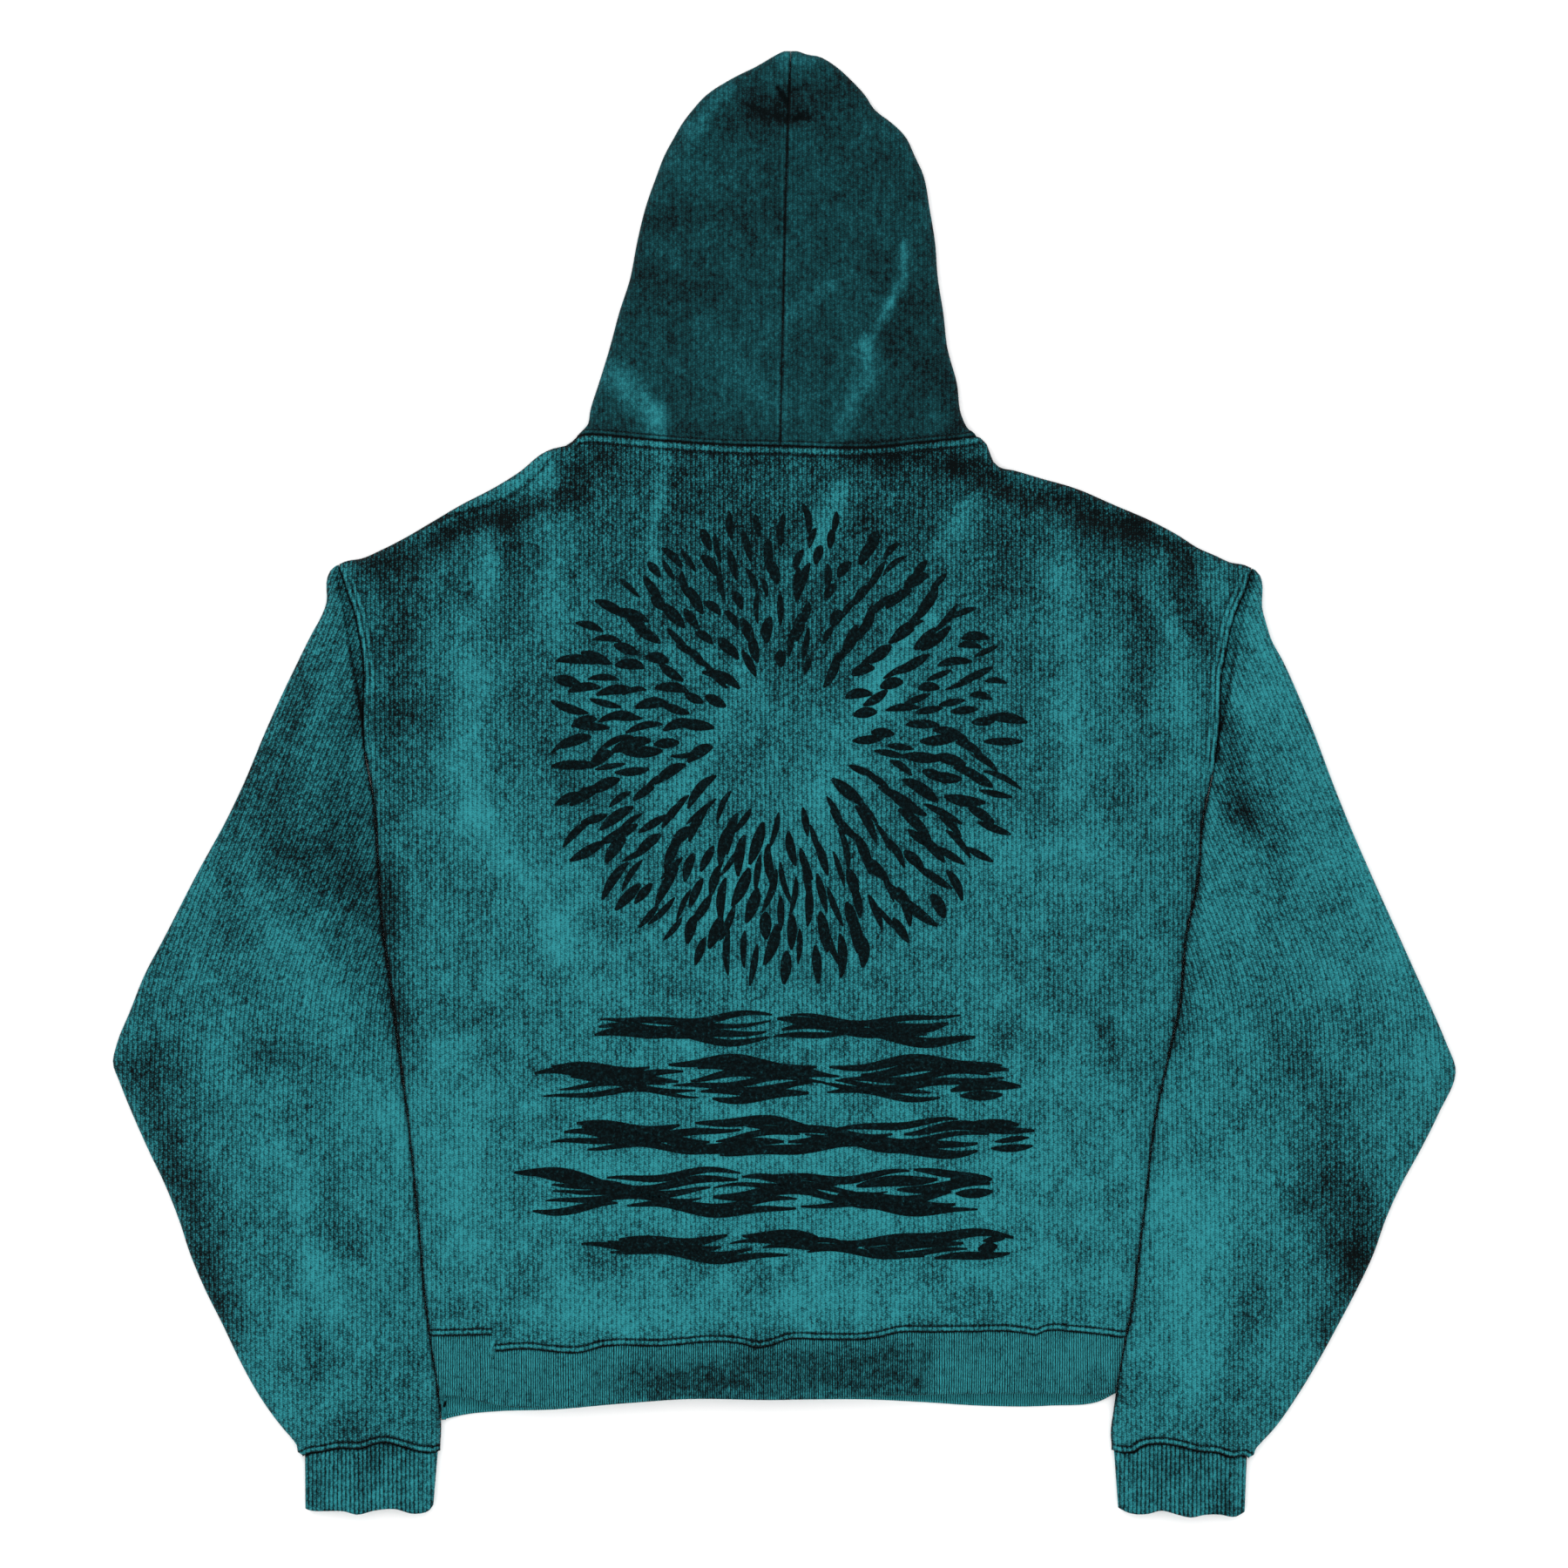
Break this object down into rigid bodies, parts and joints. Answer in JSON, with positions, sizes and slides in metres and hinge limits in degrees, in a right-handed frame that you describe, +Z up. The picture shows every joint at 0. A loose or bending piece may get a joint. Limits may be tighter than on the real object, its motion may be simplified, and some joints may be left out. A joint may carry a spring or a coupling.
{
  "type": "hooded sweatshirt",
  "caption": "Boxy pullover sweatshirt with a hood, lying flat with its back up; rib cuffs and waistband and a front pocket underneath.",
  "frame": {"origin": "middle of the ground that the garment covers, on that ground", "axes": "+Z up out of the back, +Y from the hem to the hood, +X to the right-hand sleeve as seen from above"},
  "size_m": [0.9868, 1.076, 0.0329],
  "materials": {
    "washed_fleece": "acid-washed brushed fleece with knit wales",
    "hood_fleece": "the same fleece, doubled and washed less",
    "rib_knit": "fine washed rib",
    "sewing_thread": "twin-needle cover stitch",
    "print_ink": "soft matt screen-print ink"
  },
  "bodies": {
    "root": {"back_body": "washed_fleece", "front_body": "washed_fleece", "pocket": "washed_fleece", "sleeve_left": "washed_fleece", "forearm_left": "washed_fleece", "sleeve_right": "washed_fleece", "forearm_right": "washed_fleece", "hood_left": "hood_fleece", "hood_right": "hood_fleece", "cuff_left": "rib_knit", "cuff_right": "rib_knit", "waistband": "rib_knit"}
  },
  "joints": []
}
